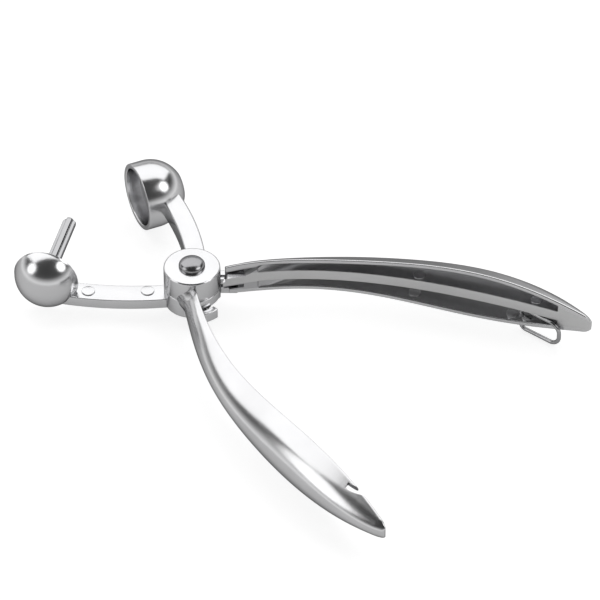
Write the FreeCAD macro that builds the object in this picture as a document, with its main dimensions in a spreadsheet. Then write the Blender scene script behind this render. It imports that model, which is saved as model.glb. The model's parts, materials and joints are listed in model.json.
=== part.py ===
"""Hand-held olive and cherry pitter: two die-cast zinc levers on one rivet, opened by a torsion spring.

Both levers are drawn alike. Each has its own frame: origin on the rivet axis at mid height, X towards the
handle tip, Y outwards from the other handle, and its half of the pivot boss below. The punch lever turns by
the half opening about Z. The cup lever is first turned over about X, so its half of the boss lies on top.
"""
import FreeCAD, Part
import math
import os

import Sketcher
from FreeCAD import Vector

doc = FreeCAD.newDocument("Pitter")
sheet = doc.addObject("Spreadsheet::Sheet", "Sizes")

# ---- driving dimensions, mm and degrees ------------------------------------------------------------------

DIMENSIONS = {
    # where the rivet axis stands in the part's frame, and how far each handle opens from the middle
    "pivot_x": -33.05, "pivot_y": -0.83, "pivot_z": 12.3, "half_open": 26.0,
    # pivot boss, half of it on each lever, and the room round it for the other lever's root
    "boss_radius": 9.5, "boss_half": 7.6, "split_depth": 0.4, "split_gap": 0.1, "boss_edge": 0.4,
    "punch_root_room": 11.4, "cup_root_room": 10.2, "high": 20.0,
    # neck between boss and handle
    "neck_low": 6.6, "neck_x": 4.0, "neck_in": 3.0, "neck_front_x": 9.9, "neck_front_y": 3.9,
    "neck_end_x": 14.5, "neck_end_in": 4.6, "neck_end_out": 9.2, "neck_out": 8.6,
    # spring chamber, the window for the spring's free leg and the groove for its fixed leg
    "chamber_radius": 5.4, "chamber_roof": 1.8, "window_rise": 3.8,
    "window_a_x": 1.6, "window_a_y": 4.8, "window_b_x": 9.8, "window_b_y": 8.5,
    "window_c_x": 12.5, "window_c_y": 2.8, "window_d_x": 1.6, "window_d_y": 2.4,
    # handle: wall of the casting, rib between its two channels, how far the channels are open
    "handle_start": 10.0, "handle_length": 124.0, "wall": 2.0, "rib_half": 2.0, "mouth_over": 1.0,
    "rim_land": 0.8,
    # bow of each rim, half height and depth of the handle: the values that a smooth curve is drawn to
    "punch_bow_0": 2.4, "punch_bow_1": 16.6, "punch_bow_2": 12.8, "punch_bow_3": 9.9, "punch_bow_4": 0.3,
    "cup_bow_0": 3.3, "cup_bow_1": 14.0, "cup_bow_2": 12.4, "cup_bow_3": 2.5, "cup_bow_4": 0.6,
    "half_0": 6.0, "half_1": 9.2, "half_2": 0.4, "half_3": 17.9, "half_4": 10.0, "half_5": 3.1,
    "deep_0": 4.9, "deep_1": 4.0, "deep_2": 13.2, "deep_3": 6.2, "deep_4": 16.7, "deep_5": 1.8,
    # punch arm: a flat bar bent to one radius
    "punch_arm_x": 7.0, "punch_arm_out": 2.7, "punch_arm_in": 5.1, "punch_arm_end_x": 46.0,
    "punch_arm_end_out": 1.4, "punch_arm_end_in": 9.2, "punch_arm_bend": 110.0, "punch_arm_rise": 3.8,
    # bowl that pushes the fruit: a ball cut off below its middle, with the socket of the punch in it
    "bowl_x": 48.5, "bowl_y": 3.2, "bowl_turn": -3.9, "bowl_radius": 11.3, "bowl_inner": 9.7,
    "bowl_rim": 2.0, "bowl_room": 6.0, "socket_radius": 3.4, "socket_low": 10.6, "socket_high": 6.8,
    # cup arm: a deeper bar bent to one radius
    "cup_arm_x": 7.0, "cup_arm_out": 1.7, "cup_arm_in": 8.7, "cup_arm_end_x": 41.0,
    "cup_arm_end_out": 8.7, "cup_arm_end_in": 15.5, "cup_arm_bend": 100.0, "cup_arm_low": 4.2,
    "cup_arm_rise": 7.0,
    # cup that holds the fruit, with the hole that the stone leaves by
    "cup_x": 48.15, "cup_y": 3.8, "cup_turn": 4.5, "cup_radius": 11.75, "cup_inner": 10.05,
    "cup_straight": 5.0, "cup_room": 1.0, "stone_hole": 5.3,
    # lug on the cup lever that the spring's free leg presses on
    "lug_inner": 10.1, "lug_outer": 12.3, "lug_low": 16.5, "lug_high": 26.0, "lug_rise": 3.8,
    "lug_play": 0.15, "lug_room_high": 18.5,
    # catch for the bail: an arc-shaped notch in each wall of the cup handle
    "catch_inner": 14.4, "catch_outer": 16.45, "catch_mouth": 40.0, "catch_end": 69.5, "catch_skin": 2.4,
    # pocket at the root of the punch handle, where the spring's fixed leg lies
    "pocket_start": 13.2, "pocket_end": 19.5, "pocket_low": 3.8, "pocket_high": 4.0, "pocket_depth": 7.6,
    # punch: a fluted rod
    "punch_radius": 2.3, "punch_root": 10.2, "punch_reach": 27.6, "punch_neck": 26.3, "punch_end": 1.4,
    "flute_radius": 0.95, "flute_out": 1.75, "flute_start": 6.2,
    # rivet and its washer
    "rivet_radius": 3.0, "rivet_play": 0.05, "head_radius": 4.4, "head_side": 0.9, "head_rise": 2.7,
    "head_mid": 2.9, "head_mid_rise": 2.05, "tail_radius": 4.2, "tail_rise": 1.3, "tail_mid": 2.8,
    "tail_mid_rise": 0.8, "washer_radius": 6.6, "washer_thick": 0.8,
    # torsion spring
    "wire_radius": 0.6, "coil_radius": 4.0, "coil_low": 6.3, "coil_high": 3.15,
    "fixed_leg_turn": 9.5, "fixed_leg": 17.2, "free_leg_turn": 33.6, "free_leg": 10.9, "leg_room": 0.65,
    # locking bail
    "bail_x": 109.75, "bail_y": 9.44, "bail_wire": 0.7, "bail_length": 15.4, "bail_stow": 28.3,
    "bail_top": 3.1, "bail_low": 11.6, "bail_corner": 2.0, "bail_play": 0.08,
}

# Where the sections of a handle stand along it, from 0 at the boss to 1 at the tip.
SECTIONS = tuple(step / 12 for step in range(11)) + (0.885, 0.93, 0.97, 1.0)
# The channels run between these two, and reach their full depth where the ramp at their root ends.
CHANNEL_START, CHANNEL_FULL, CHANNEL_END = 0.09, 0.19, 0.905
CHANNEL_SHALLOW = 0.45
# The casting's round back is drawn with this many flats, and a quarter of a channel's floor with these.
BACK_FLATS, FLOOR_FLATS = 14, 4


def fill_sheet():
    """Writes every driving dimension to the sheet, one row each, under its own alias."""
    for line, (alias, value) in enumerate(DIMENSIONS.items(), 1):
        sheet.set(f"A{line}", alias)
        sheet.set(f"B{line}", str(value))
        sheet.setAlias(f"B{line}", alias)
    doc.recompute()


# ---- amounts: a number and the expression on the sheet that gives it -------------------------------------

ZERO = (0.0, "0")


def total(*parts):
    """Sum of amounts, each with its factor."""
    value = sum(factor * amount[0] for factor, amount in parts)
    return value, " + ".join(f"({factor:.6g}) * ({amount[1]})" for factor, amount in parts)


def size(terms):
    """Amount of a sum of sheet names, such as 'boss_half - split_depth'."""
    parts, sign = [], 1.0
    for word in terms.split():
        if word in ("+", "-"):
            sign = 1.0 if word == "+" else -1.0
        else:
            parts.append((sign, (sheet.get(word), f"Sizes.{word}")))
    return total(*parts)


def along(name, place):
    """Amount of a named curve of the handle at a place from 0 to 1, by Bernstein's weights."""
    count = sum(1 for alias in DIMENSIONS if alias.startswith(f"{name}_") and alias[len(name) + 1:].isdigit())
    degree = count - 1
    weights = [math.comb(degree, k) * place ** k * (1 - place) ** (degree - k) for k in range(count)]
    return total(*((weight, size(f"{name}_{k}")) for k, weight in enumerate(weights)))


# ---- sketches --------------------------------------------------------------------------------------------


def own_plane(body, role):
    return next(item for item in body.Origin.OriginFeatures if item.Role == role)


def sketch_on(body, plane, name, lift=None, turn=None, shift=None):
    """A sketch on one of the body's own planes: lifted off it, turned and shifted in it by amounts."""
    sketch = body.newObject("Sketcher::SketchObject", name)
    sketch.AttachmentSupport = [(own_plane(body, plane), "")]
    sketch.MapMode = "FlatFace"
    if lift:
        sketch.setExpression("AttachmentOffset.Base.z", lift[1])
    if turn:
        sketch.setExpression("AttachmentOffset.Rotation.Angle", turn[1])
    if shift:
        sketch.setExpression("AttachmentOffset.Base.x", shift[0][1])
        sketch.setExpression("AttachmentOffset.Base.y", shift[1][1])
    return sketch


def bind(sketch, kind, references, amount):
    """Adds a dimension to a sketch and ties it to the sheet."""
    index = sketch.addConstraint(Sketcher.Constraint(kind, *references, amount[0]))
    if amount is not ZERO:
        sketch.setExpression(f"Constraints[{index}]", amount[1])


def pin(sketch, shape, end, corner):
    """Fixes an end, centre or pole at a corner, a pair of amounts."""
    bind(sketch, "DistanceX", (-1, 1, shape, end), corner[0])
    bind(sketch, "DistanceY", (-1, 1, shape, end), corner[1])


def point(corner):
    return Vector(corner[0][0], corner[1][0], 0)


def corners(*pairs):
    """Pairs of sheet sums as corners; '0' stands for the axis itself."""
    return [tuple(ZERO if terms == "0" else size(terms) for terms in pair) for pair in pairs]


def draw_circle(sketch, radius, centre=(ZERO, ZERO)):
    shape = sketch.addGeometry(Part.Circle(point(centre), Vector(0, 0, 1), radius[0]))
    pin(sketch, shape, 3, centre)
    bind(sketch, "Radius", (shape,), radius)


def draw_line(sketch, start, end):
    """Straight edge; gives its number and its end that lies at the start."""
    return sketch.addGeometry(Part.LineSegment(point(start), point(end))), 1


def draw_arc(sketch, start, end, radius, side):
    """Shorter arc of a radius from start to end; its centre lies left (side 1) or right (side -1)."""
    first, last = (start, end) if side > 0 else (end, start)
    chord = point(last) - point(first)
    offset = math.sqrt(radius[0] ** 2 - chord.Length ** 2 / 4)
    centre = (point(first) + point(last)) * 0.5 + Vector(-chord.y, chord.x, 0).normalize() * offset
    spokes = [point(corner) - centre for corner in (first, last)]
    angles = [math.atan2(spoke.y, spoke.x) for spoke in spokes]
    if angles[1] < angles[0]:
        angles[1] += 2 * math.pi
    shape = sketch.addGeometry(Part.ArcOfCircle(Part.Circle(centre, Vector(0, 0, 1), radius[0]), *angles))
    bind(sketch, "Radius", (shape,), radius)
    return shape, 1 if side > 0 else 2


def draw_outline(sketch, outline, bends=None):
    """Closed outline through corners. bends maps an edge to (radius, side of its centre)."""
    edges = []
    for index, start in enumerate(outline):
        end = outline[(index + 1) % len(outline)]
        if bends and index in bends:
            edges.append(draw_arc(sketch, start, end, *bends[index]))
        else:
            edges.append(draw_line(sketch, start, end))
        pin(sketch, *edges[-1], start)
    for (shape, start_end), (after, after_end) in zip(edges, edges[1:] + edges[:1]):
        sketch.addConstraint(Sketcher.Constraint("Coincident", shape, 3 - start_end, after, after_end))


# ---- features --------------------------------------------------------------------------------------------


def new_body(label):
    body = doc.addObject("PartDesign::Body", label)
    body.Label = label
    return body


def extrude(body, kind, name, sketch, length, midplane=False):
    """Pad or pocket of a length; both go up from the sketch, or to both sides of it."""
    made = body.newObject(f"PartDesign::{kind}", name)
    made.Profile = sketch
    made.setExpression("Length", length[1])
    made.Midplane = midplane
    made.Reversed = kind == "Pocket" and not midplane
    sketch.Visibility = False
    return made


def revolve(body, kind, name, sketch):
    """Turns a sketch once about its own vertical axis."""
    made = body.newObject(f"PartDesign::{kind}", name)
    made.Profile = sketch
    made.ReferenceAxis = (sketch, ["V_Axis"])
    made.Angle = 360.0
    sketch.Visibility = False
    return made


def ruled_loft(body, kind, name, sketches):
    made = body.newObject(f"PartDesign::{kind}", name)
    made.Profile = sketches[0]
    made.Sections = sketches[1:]
    made.Ruled = True
    return made


def bevel_rim(body, name, base, rim_radius, level, width):
    """Chamfer on the round edges of the base that have a radius and lie at a level."""
    doc.recompute()
    chosen = [
        f"Edge{index}" for index, edge in enumerate(base.Shape.Edges, 1)
        if isinstance(edge.Curve, Part.Circle) and abs(edge.Curve.Radius - rim_radius[0]) < 0.001
        and abs(edge.Curve.Center.z - level[0]) < 0.001
    ]
    made = body.newObject("PartDesign::Chamfer", name)
    made.Base = (base, chosen)
    made.setExpression("Size", width[1])


# ---- handle, alike on both levers ------------------------------------------------------------------------


def reach(place):
    return total((1.0, size("handle_start")), (place, size("handle_length")))


def blank_section(body, lever, index, place):
    """D-shaped section of the handle: flat between the rims, half an ellipse round the back."""
    bow, half, deep = along(f"{lever}_bow", place), along("half", place), along("deep", place)
    sketch = sketch_on(body, "YZ_Plane", f"Blank{index}", lift=reach(place))
    turns = [math.pi * (step / BACK_FLATS - 0.5) for step in range(BACK_FLATS + 1)]
    outline = [(total((1, bow), (math.cos(turn), deep)), total((math.sin(turn), half))) for turn in turns]
    draw_outline(sketch, outline)
    return sketch


def channel_section(body, lever, index, place, fill):
    """Section of the upper channel: open at the rims, closed by the rib, the side wall and the back."""
    bow = along(f"{lever}_bow", place)
    roof = total((1, along("half", place)), (-1, size("wall")))
    land = total((1, bow), (1, size("rim_land")))
    back = total((1, bow), (fill, along("deep", place)), (-fill, size("wall")))
    mouth = total((1, bow), (-1, size("mouth_over")))
    rib = size("rib_half")
    sketch = sketch_on(body, "YZ_Plane", f"Channel{index}_", lift=reach(place))
    turns = [0.5 * math.pi * step / FLOOR_FLATS for step in range(FLOOR_FLATS + 1)]
    floor = [(total((1 - math.cos(turn), land), (math.cos(turn), back)),
              total((1 - math.sin(turn), rib), (math.sin(turn), roof))) for turn in turns]
    draw_outline(sketch, floor + [(mouth, roof), (mouth, rib)])
    return sketch


def add_handle(body, lever):
    """Bowed handle with two channels parted by a rib."""
    blanks = [blank_section(body, lever, index, place) for index, place in enumerate(SECTIONS)]
    ruled_loft(body, "AdditiveLoft", "HandleBlank", blanks)
    places = [(CHANNEL_START, CHANNEL_SHALLOW), (CHANNEL_FULL, 1.0)]
    places += [(place, 1.0) for place in SECTIONS if CHANNEL_FULL < place < CHANNEL_END]
    places += [(CHANNEL_END, 1.0)]
    channels = [channel_section(body, lever, index, *place) for index, place in enumerate(places)]
    channel = ruled_loft(body, "SubtractiveLoft", "Channel", channels)
    mirror = body.newObject("PartDesign::Mirrored", "SecondChannel")
    mirror.Originals = [channel]
    mirror.MirrorPlane = (own_plane(body, "XY_Plane"), [""])
    body.Tip = mirror


# ---- levers ----------------------------------------------------------------------------------------------


def polar(radius, angle, centre=(ZERO, ZERO)):
    """Corner at a radius and an angle in degrees about a centre."""
    turn = math.radians(angle[0])
    swings = ((math.cos(turn), "cos"), (math.sin(turn), "sin"))
    return tuple(
        (middle[0] + radius[0] * factor, f"{middle[1]} + ({radius[1]}) * {word}({angle[1]})")
        for middle, (factor, word) in zip(centre, swings)
    )


def minus(amount):
    return total((-1, amount))


def half_chord(radius, below):
    """Half the width of a circle at a distance below its middle."""
    return math.sqrt(radius[0] ** 2 - below[0] ** 2), f"sqrt(({radius[1]}) ^ 2 - ({below[1]}) ^ 2)"


def ring_sector(inner, outer, low, high, centre=(ZERO, ZERO)):
    """Outline of a piece of a ring and the bends of its two curved edges."""
    outline = [polar(inner, low, centre), polar(outer, low, centre), polar(outer, high, centre),
               polar(inner, high, centre)]
    return outline, {1: (outer, 1), 3: (inner, -1)}


def box_outline(left, right, low, high):
    return [(left, low), (right, low), (right, high), (left, high)]


def seat(body, *steps):
    """Places a body by a chain of (position, axis, angle) steps, starting at another body if one is given."""
    chain = []
    for step in steps:
        if isinstance(step, str):
            chain.append(f"{step}.Placement")
            continue
        position, axis, angle = step
        base = "create(<<vector>>; " + "; ".join(amount[1] for amount in position) + ")"
        direction = "create(<<vector>>; " + "; ".join(str(value) for value in axis) + ")"
        chain.append(f"create(<<placement>>; {base}; create(<<rotation>>; {direction}; {angle[1]}))")
    body.setExpression("Placement", " * ".join(chain))


PIVOT = ("pivot_x", "pivot_y", "pivot_z")
HERE = (ZERO, ZERO, ZERO)


def add_boss(body, top):
    """Half of the pivot boss, from its outer face up to the joint face, and the neck to the handle."""
    floor = minus(size("boss_half"))
    sketch = sketch_on(body, "XY_Plane", "BossPlan", lift=floor)
    draw_circle(sketch, size("boss_radius"))
    extrude(body, "Pad", "Boss", sketch, total((1, top), (-1, floor)))
    neck_floor = minus(size("neck_low"))
    sketch = sketch_on(body, "XY_Plane", "NeckPlan", lift=neck_floor)
    draw_outline(sketch, corners(("neck_x", "neck_in"), ("neck_front_x", "neck_front_y"),
                                 ("neck_end_x", "neck_end_in"), ("neck_end_x", "neck_end_out"),
                                 ("neck_x", "neck_out")))
    extrude(body, "Pad", "Neck", sketch, total((1, top), (-1, neck_floor)))


def clear_root(body, top, room):
    """Cuts the handle's and arm's roots back, so that the other lever's boss turns between them."""
    sketch = sketch_on(body, "XY_Plane", "RootRoomPlan", lift=top)
    draw_circle(sketch, room)
    extrude(body, "Pocket", "RootRoom", sketch, size("high"))


def bore(body, radius):
    sketch = sketch_on(body, "XY_Plane", "BorePlan")
    draw_circle(sketch, radius)
    return extrude(body, "Pocket", "Bore", sketch, total((2, size("high"))), midplane=True)


def add_arm(body, name, bend, floor, rise):
    """Bar from the boss to the bowl or cup, both edges bent to one radius."""
    sketch = sketch_on(body, "XY_Plane", "ArmPlan", lift=floor)
    near, far = minus(size(f"{name}_x")), minus(size(f"{name}_end_x"))
    start_out = size(f"{name}_out") if name == "punch_arm" else minus(size(f"{name}_out"))
    outline = [(near, minus(size(f"{name}_in"))), (far, minus(size(f"{name}_end_in"))),
               (far, minus(size(f"{name}_end_out"))), (near, start_out)]
    draw_outline(sketch, outline, {0: (bend, -1), 2: (bend, 1)})
    return extrude(body, "Pad", "Arm", sketch, rise)


def half_profile(body, name, turn, shift, outline, bends=None):
    """Sketch in the level plane whose vertical axis is the axis of a round part."""
    sketch = sketch_on(body, "XY_Plane", name, turn=turn, shift=shift)
    draw_outline(sketch, outline, bends)
    return sketch


def make_punch_lever():
    body = new_body("punch_lever")
    add_handle(body, "punch")
    top = total((-1, size("split_depth")), (-0.5, size("split_gap")))
    floor = minus(size("boss_half"))
    add_boss(body, top)
    add_arm(body, "punch_arm", size("punch_arm_bend"), floor, size("punch_arm_rise"))
    turn, shift = size("bowl_turn"), corners(("- bowl_x", "- bowl_y"))[0]
    outer, inner, below = size("bowl_radius"), size("bowl_inner"), size("bowl_rim")
    rim = minus(below)
    ball = half_profile(body, "BowlSection", turn, shift,
                        [(ZERO, minus(outer)), (half_chord(outer, below), rim), (ZERO, rim)], {0: (outer, 1)})
    revolve(body, "Revolution", "Bowl", ball)
    clear_root(body, top, size("punch_root_room"))
    room, mouth = size("bowl_room - bowl_rim"), half_chord(inner, below)
    hollow = half_profile(body, "BowlHollowSection", turn, shift,
                          [(ZERO, minus(inner)), (mouth, rim), (mouth, room), (ZERO, room)],
                          {0: (inner, 1)})
    revolve(body, "Groove", "BowlHollow", hollow)
    low, high = minus(size("socket_low")), minus(size("socket_high"))
    socket = half_profile(body, "SocketSection", turn, shift,
                          box_outline(ZERO, size("socket_radius"), low, high))
    revolve(body, "Revolution", "Socket", socket)
    hole = half_profile(body, "SocketHoleSection", turn, shift,
                        box_outline(ZERO, size("punch_radius"), minus(size("punch_root")), ZERO))
    revolve(body, "Groove", "SocketHole", hole)

    sketch = sketch_on(body, "XY_Plane", "ChamberPlan", lift=floor)
    draw_circle(sketch, size("chamber_radius"))
    roof = total((1, top), (-1, size("chamber_roof")))
    extrude(body, "Pocket", "SpringChamber", sketch, total((1, roof), (-1, floor)))
    sketch = sketch_on(body, "XY_Plane", "WindowPlan", lift=floor)
    draw_outline(sketch, corners(("- window_a_x", "- window_a_y"), ("window_b_x", "- window_b_y"),
                                 ("window_c_x", "window_c_y"), ("window_d_x", "- window_d_y")))
    extrude(body, "Pocket", "SpringWindow", sketch, size("window_rise"))
    sketch = sketch_on(body, "XY_Plane", "LugRoomPlan", lift=minus(size("high")))
    draw_outline(sketch, *ring_sector(size("boss_radius"), size("lug_outer + lug_play"),
                                      minus(size("lug_high")), size("lug_room_high")))
    extrude(body, "Pocket", "LugRoom", sketch, size("high + lug_rise + lug_play - boss_half"))
    bed = minus(size("coil_high + leg_room"))
    sketch = sketch_on(body, "XY_Plane", "LegGroovePlan", lift=bed, turn=size("fixed_leg_turn"))
    draw_outline(sketch, box_outline(ZERO, size("fixed_leg"),
                                     size("coil_radius - leg_room"), size("coil_radius + leg_room")))
    extrude(body, "Pocket", "LegGroove", sketch, total((1, top), (-1, bed)))
    sketch = sketch_on(body, "XZ_Plane", "RootPocketFront")
    draw_outline(sketch, box_outline(size("pocket_start"), size("pocket_end"),
                                     minus(size("pocket_low")), size("pocket_high")))
    extrude(body, "Pocket", "RootPocket", sketch, total((2, size("pocket_depth"))), midplane=True)
    bore(body, size("rivet_radius + rivet_play"))
    sketch = sketch_on(body, "XY_Plane", "BailHolePlan", lift=minus(size("high")))
    draw_circle(sketch, size("bail_wire + bail_play"), corners(("bail_x", "bail_y"))[0])
    extrude(body, "Pocket", "BailHole", sketch, size("high - bail_top"))
    seat(body, (list(map(size, PIVOT)), (0, 0, 1), size("half_open")))
    return body


def make_cup_lever():
    body = new_body("cup_lever")
    add_handle(body, "cup")
    top = total((1, size("split_depth")), (-0.5, size("split_gap")))
    add_boss(body, top)
    add_arm(body, "cup_arm", size("cup_arm_bend"), minus(size("cup_arm_low")), size("cup_arm_rise"))
    turn, shift = size("cup_turn"), corners(("- cup_x", "- cup_y"))[0]
    outer, inner, straight = size("cup_radius"), size("cup_inner"), minus(size("cup_straight"))
    shell = half_profile(body, "CupSection", turn, shift,
                         [(ZERO, total((1, straight), (-1, outer))), (outer, straight), (outer, ZERO),
                          (ZERO, ZERO)], {0: (outer, 1)})
    revolve(body, "Revolution", "Cup", shell)
    clear_root(body, top, size("cup_root_room"))
    room = size("cup_room")
    hollow = half_profile(body, "CupHollowSection", turn, shift,
                          [(ZERO, total((1, straight), (-1, inner))), (inner, straight), (inner, room),
                           (ZERO, room)], {0: (inner, 1)})
    revolve(body, "Groove", "CupHollow", hollow)
    hole = half_profile(body, "StoneHoleSection", turn, shift,
                        box_outline(ZERO, size("stone_hole"), minus(size("high")), straight))
    revolve(body, "Groove", "StoneHole", hole)

    rise, foot = size("lug_rise"), size("boss_half - lug_rise")
    sketch = sketch_on(body, "XY_Plane", "LugPlan", lift=foot)
    draw_outline(sketch, *ring_sector(size("lug_inner"), size("lug_outer"), minus(size("lug_low")),
                                      size("lug_high")))
    extrude(body, "Pad", "Lug", sketch, rise)
    bed = size("coil_low - leg_room")
    sketch = sketch_on(body, "XY_Plane", "LegGroovePlan", lift=bed, turn=minus(size("free_leg_turn")))
    draw_outline(sketch, box_outline(size("boss_half"), size("free_leg"),
                                     size("coil_radius - leg_room"), size("coil_radius + leg_room")))
    extrude(body, "Pocket", "LegGroove", sketch, size("high"))
    hole = bore(body, size("rivet_radius"))
    bevel_rim(body, "BossEdge", hole, size("boss_radius"), minus(size("boss_half")), size("boss_edge"))
    centre = (size("bail_x"), minus(size("bail_y")))
    for name, skin in (("CatchBelow", size("catch_skin")), ("CatchAbove", minus(size("high")))):
        sketch = sketch_on(body, "XY_Plane", f"{name}Plan", lift=skin)
        draw_outline(sketch, *ring_sector(size("catch_inner"), size("catch_outer"), size("catch_mouth"),
                                          size("catch_end"), centre))
        extrude(body, "Pocket", name, sketch, size("high - catch_skin"))
    seat(body, (list(map(size, PIVOT)), (0, 0, 1), minus(size("half_open"))), (HERE, (1, 0, 0), HALF_TURN))
    return body


HALF_TURN, QUARTER_BACK = (180.0, "180"), (-90.0, "-90")

# ---- punch, rivet, washer, spring and bail ---------------------------------------------------------------


def make_punch():
    """Rod pressed into the bowl's socket: round root, four flutes, rounded tip."""
    body = new_body("punch_rod")
    sketch = sketch_on(body, "XZ_Plane", "RodSection")
    radius, root, tip = size("punch_radius"), minus(size("punch_root")), size("punch_reach")
    draw_outline(sketch, [(ZERO, root), (radius, root), (radius, size("punch_neck")),
                          (size("punch_end"), tip), (ZERO, tip)])
    revolve(body, "Revolution", "Rod", sketch)
    sketch = sketch_on(body, "XY_Plane", "FlutePlan", lift=minus(size("flute_start")))
    out = size("flute_out")
    for across in (1, -1):
        for up in (1, -1):
            draw_circle(sketch, size("flute_radius"), (total((across, out)), total((up, out))))
    extrude(body, "Pocket", "Flutes", sketch, total((2, size("high"))))
    bowl = (minus(size("bowl_x")), minus(size("bowl_y")), ZERO)
    seat(body, "punch_lever", (bowl, (0, 0, 1), size("bowl_turn")),
         (HERE, (1, 0, 0), QUARTER_BACK))
    return body


def make_rivet():
    """Steel rivet: domed head on the cup lever, shank through both bosses, tail closed over the washer."""
    body = new_body("pivot_rivet")
    sketch = sketch_on(body, "XZ_Plane", "RivetSection")
    shank, head, tail = size("rivet_radius"), size("head_radius"), size("tail_radius")
    seat_level = size("boss_half")
    head_edge = size("boss_half + head_side")
    crown = size("boss_half + head_rise")
    tail_seat = minus(size("boss_half + rivet_play + washer_thick"))
    tail_end = total((1, tail_seat), (-1, size("tail_rise")))
    tail_mid = total((1, tail_seat), (-1, size("tail_mid_rise")))
    outline = [(ZERO, tail_end), (size("tail_mid"), tail_mid), (tail, tail_seat), (shank, tail_seat),
               (shank, seat_level), (head, seat_level), (head, head_edge),
               (size("head_mid"), size("boss_half + head_mid_rise")), (ZERO, crown)]
    draw_outline(sketch, outline)
    revolve(body, "Revolution", "Rivet", sketch)
    seat(body, (list(map(size, PIVOT)), (0, 0, 1), ZERO))
    return body


def make_washer():
    """Steel washer that closes the spring chamber under the rivet's tail."""
    body = new_body("rivet_washer")
    sketch = sketch_on(body, "XY_Plane", "WasherPlan",
                       lift=minus(size("boss_half + rivet_play + washer_thick")))
    draw_circle(sketch, size("washer_radius"))
    draw_circle(sketch, size("rivet_radius"))
    extrude(body, "Pad", "Washer", sketch, size("washer_thick"))
    seat(body, (list(map(size, PIVOT)), (0, 0, 1), ZERO))
    return body


def make_spring():
    """Torsion spring: a coil round the rivet with a straight leg to each lever."""
    value = sheet.get
    radius, low, high = value("coil_radius"), -value("coil_low"), -value("coil_high")
    fixed_turn = value("half_open") + value("fixed_leg_turn")
    free_turn = value("free_leg_turn") - value("half_open")
    # each leg leaves the coil on its tangent: the fixed one clockwise, the free one anticlockwise
    start_angle, end_angle = free_turn - 90, fixed_turn + 90
    swept = (start_angle - end_angle) % 360 + 720

    def on_coil(share):
        turn = math.radians(start_angle - swept * share)
        return Vector(radius * math.cos(turn), radius * math.sin(turn), low + (high - low) * share)

    def heading(turn):
        return Vector(math.cos(math.radians(turn)), math.sin(math.radians(turn)), 0)

    centres = [on_coil(0) + heading(free_turn) * value("free_leg")]
    centres += [on_coil(step / 44) for step in range(45)]
    centres += [on_coil(1) + heading(fixed_turn) * value("fixed_leg")]

    def ring(index):
        """Ten-sided section of the wire, square to the mean direction of the two runs that meet there."""
        spot = centres[index]
        before = spot - centres[index - 1] if index else centres[1] - spot
        after = centres[index + 1] - spot if index + 1 < len(centres) else before
        along_wire = (before.normalize() + after.normalize()).normalize()
        side = along_wire.cross(Vector(0, 0, 1)).normalize()
        turns = [math.radians(36 * number) for number in range(11)]
        arm = value("wire_radius")
        return Part.makePolygon([
            spot + side * (arm * math.cos(turn)) + side.cross(along_wire) * (arm * math.sin(turn))
            for turn in turns
        ])

    rings = [ring(index) for index in range(len(centres))]
    spring = doc.addObject("Part::Feature", "torsion_spring")
    spring.Label = "torsion_spring"
    spring.Shape = Part.makeLoft(rings, True, True, False)
    spring.setExpression("Placement.Base.x", "Sizes.pivot_x")
    spring.setExpression("Placement.Base.y", "Sizes.pivot_y")
    spring.setExpression("Placement.Base.z", "Sizes.pivot_z")
    return spring


def make_bail():
    """Wire loop through the punch handle's lower wall; its far bar drops into the cup handle's catch."""
    body = new_body("locking_bail")
    path = sketch_on(body, "XZ_Plane", "LoopPath")
    near, far, corner = ZERO, size("bail_length"), size("bail_corner")
    high, low = minus(size("bail_top")), minus(size("bail_low"))
    left, right = total((1, near), (1, corner)), total((1, far), (-1, corner))
    down, up = total((1, low), (1, corner)), total((1, high), (-1, corner))
    outline = [(near, up), (near, down), (left, low), (right, low), (far, down), (far, up), (right, high),
               (left, high)]
    draw_outline(path, outline, {index: (corner, 1) for index in (1, 3, 5, 7)})
    sketch = sketch_on(body, "XY_Plane", "WireSection", lift=up)
    wire = size("bail_wire")
    draw_outline(sketch, [polar(wire, (36.0 * side, f"{36 * side}")) for side in range(10)])
    loop = body.newObject("PartDesign::AdditivePipe", "Loop")
    loop.Profile = sketch
    loop.Spine = (path, [])
    hinge = (size("bail_x"), size("bail_y"), ZERO)
    seat(body, "punch_lever", (hinge, (0, 0, 1), minus(size("bail_stow"))))
    return body


# ---- build, check and write ------------------------------------------------------------------------------


def check_document(parts):
    """Stops with a plain message if an object failed or a part isn't one valid solid."""
    for item in doc.Objects:
        if "Invalid" in item.State or "Error" in item.State:
            raise RuntimeError(f"{item.Name} failed: {item.State}")
    for part in parts:
        shape = part.Shape
        if shape.isNull() or not shape.isValid() or len(shape.Solids) != 1:
            raise RuntimeError(f"{part.Label} is not one valid solid")
        box = shape.BoundBox
        print(f"{part.Label}: {shape.Volume:.0f} mm3, x {box.XMin:.2f}..{box.XMax:.2f}, "
              f"y {box.YMin:.2f}..{box.YMax:.2f}, z {box.ZMin:.2f}..{box.ZMax:.2f}")


fill_sheet()
makers = (make_punch_lever, make_cup_lever, make_punch, make_rivet, make_washer, make_spring, make_bail)
parts = [make() for make in makers]
doc.recompute()
check_document(parts)
os.makedirs("parts", exist_ok=True)
for part in parts:
    part.Shape.exportStep(f"parts/{part.Label}.step")
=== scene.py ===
import json
import math

import bmesh
import bpy
from mathutils import Matrix, Vector


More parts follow.
